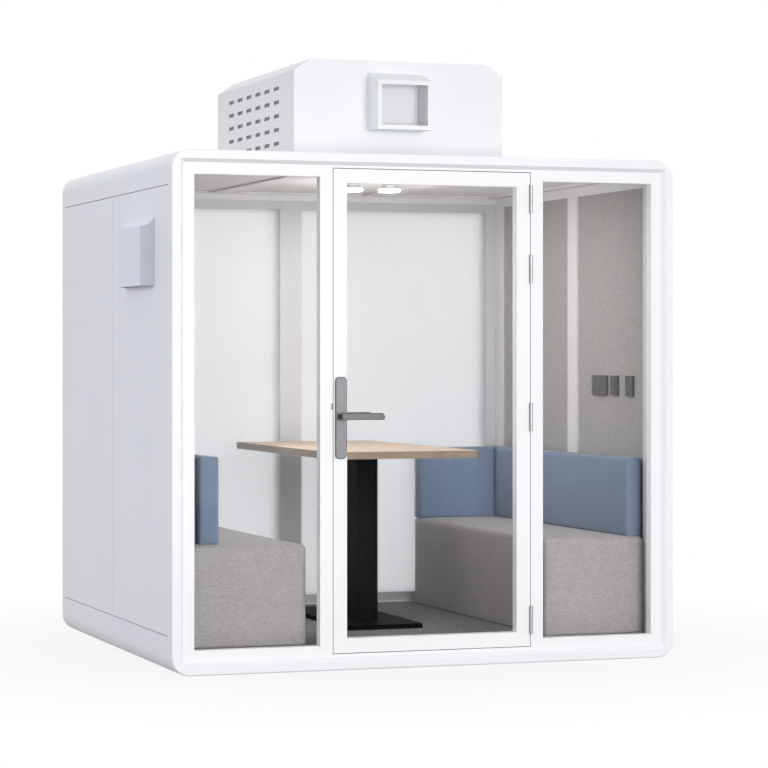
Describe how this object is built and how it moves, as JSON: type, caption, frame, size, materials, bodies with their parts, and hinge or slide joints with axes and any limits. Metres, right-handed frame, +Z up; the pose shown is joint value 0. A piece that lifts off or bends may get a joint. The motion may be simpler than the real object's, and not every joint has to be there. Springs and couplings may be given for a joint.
{
  "type": "acoustic office pod",
  "caption": "Free-standing white acoustic meeting pod with rounded corners, a glazed front and hinged glass door, facing benches, a table and a roof ventilation unit.",
  "frame": {"origin": "middle of the underside of the shell, on the ground", "axes": "+Z up, the glazed front faces -Y, +X to the right when facing the front"},
  "size_m": [2.2453, 2.0463, 2.5353],
  "materials": {
    "white_panel": "satin white lacquer on a sandwich panel",
    "white_frame": "white powder coat",
    "white_sheet": "satin white paint on sheet metal",
    "insulation": "mineral wool, hidden",
    "felt": "pressed grey acoustic felt",
    "aluminium": "satin anodised",
    "clear_glass": "clear laminated glass",
    "frosted_glass": "frosted glass",
    "plywood": "plywood, hidden",
    "carpet": "dark grey loop carpet",
    "satin_steel": "satin steel",
    "dark_plastic": "dark grey",
    "black_plastic": "black",
    "black_steel": "satin black powder coat",
    "oak": "light oak, satin",
    "grey_weave": "grey woven upholstery",
    "blue_weave": "blue woven upholstery",
    "opal": "opal, lit from inside"
  },
  "bodies": {
    "pod": {"front_rim": "white_panel", "rear_rim": "white_panel", "roof_shell": "white_panel", "base_shell": "white_panel", "left_front_panel": "white_panel", "left_rear_panel": "white_panel", "right_front_panel": "white_panel", "right_rear_panel": "white_panel", "left_fixed_frame": "white_frame", "right_fixed_frame": "white_frame", "door_surround": "white_frame", "roof_unit_casing": "white_sheet", "outlet_cowl": "white_sheet", "vent_hood": "white_sheet", "insulation_core": "insulation", "left_felt": "felt", "right_felt": "felt", "ceiling_felt": "felt", "left_wall_frame": "aluminium", "right_wall_frame": "aluminium", "ceiling_frame": "aluminium", "rear_left_frame": "aluminium", "rear_right_frame": "aluminium", "left_glass": "clear_glass", "right_glass": "clear_glass", "rear_left_glass": "frosted_glass", "rear_right_glass": "frosted_glass", "floor_deck": "plywood", "carpet": "carpet", "hinge_1_frame_leaf": "satin_steel", "hinge_2_frame_leaf": "satin_steel", "hinge_3_frame_leaf": "satin_steel", "hinge_4_frame_leaf": "satin_steel", "socket_plate": "dark_plastic", "control_plate": "dark_plastic", "switch_plate": "dark_plastic", "fan_frame": "black_plastic", "table_frame": "black_steel", "table_top": "oak", "left_bench": "grey_weave", "right_bench": "grey_weave", "left_cushion": "blue_weave", "left_bolster": "blue_weave", "right_cushion": "blue_weave", "rear_cushion": "blue_weave", "ceiling_light_1": "opal", "ceiling_light_2": "opal"},
    "door": {"door_leaf": "white_frame", "door_glass": "clear_glass", "outer_handle_plate": "satin_steel", "inner_handle_plate": "satin_steel", "lock_case": "satin_steel", "hinge_1_door_leaf": "satin_steel", "hinge_2_door_leaf": "satin_steel", "hinge_3_door_leaf": "satin_steel", "hinge_4_door_leaf": "satin_steel"},
    "lever": {"lever_handle": "satin_steel"},
    "latch": {"latch_bolt": "satin_steel"},
    "fan": {"fan_impeller": "black_plastic"},
    "rocker": {"switch_rocker": "dark_plastic"}
  },
  "joints": [
    {"name": "door_swing", "type": "hinge", "parent": "pod", "child": "door", "pos_m": [0.451, -0.991, 1.057], "axis": [0, 0, 1], "range_deg": [0, 110]},
    {"name": "lever_turn", "type": "hinge", "parent": "door", "child": "lever", "pos_m": [-0.3855, -0.9605, 1.035], "axis": [0, 1, 0], "range_deg": [0, 40], "stiffness_Nm_per_rad": 3, "springref_deg": -28.65},
    {"name": "latch_slide", "type": "slide", "parent": "door", "child": "latch", "axis": [1, 0, 0], "range_m": [0, 0.0088]},
    {"name": "fan_spin", "type": "hinge", "parent": "pod", "child": "fan", "pos_m": [-0.011, -0.508, 2.3398], "axis": [0, 1, 0], "continuous": true},
    {"name": "rocker_tilt", "type": "hinge", "parent": "pod", "child": "rocker", "pos_m": [1.037, -0.524, 1.15], "axis": [0, 1, 0], "range_deg": [-4, 4]}
  ],
  "couplings": [
    {"joint": "latch_slide", "follows": "lever_turn", "m_per_rad": 0.0122}
  ]
}
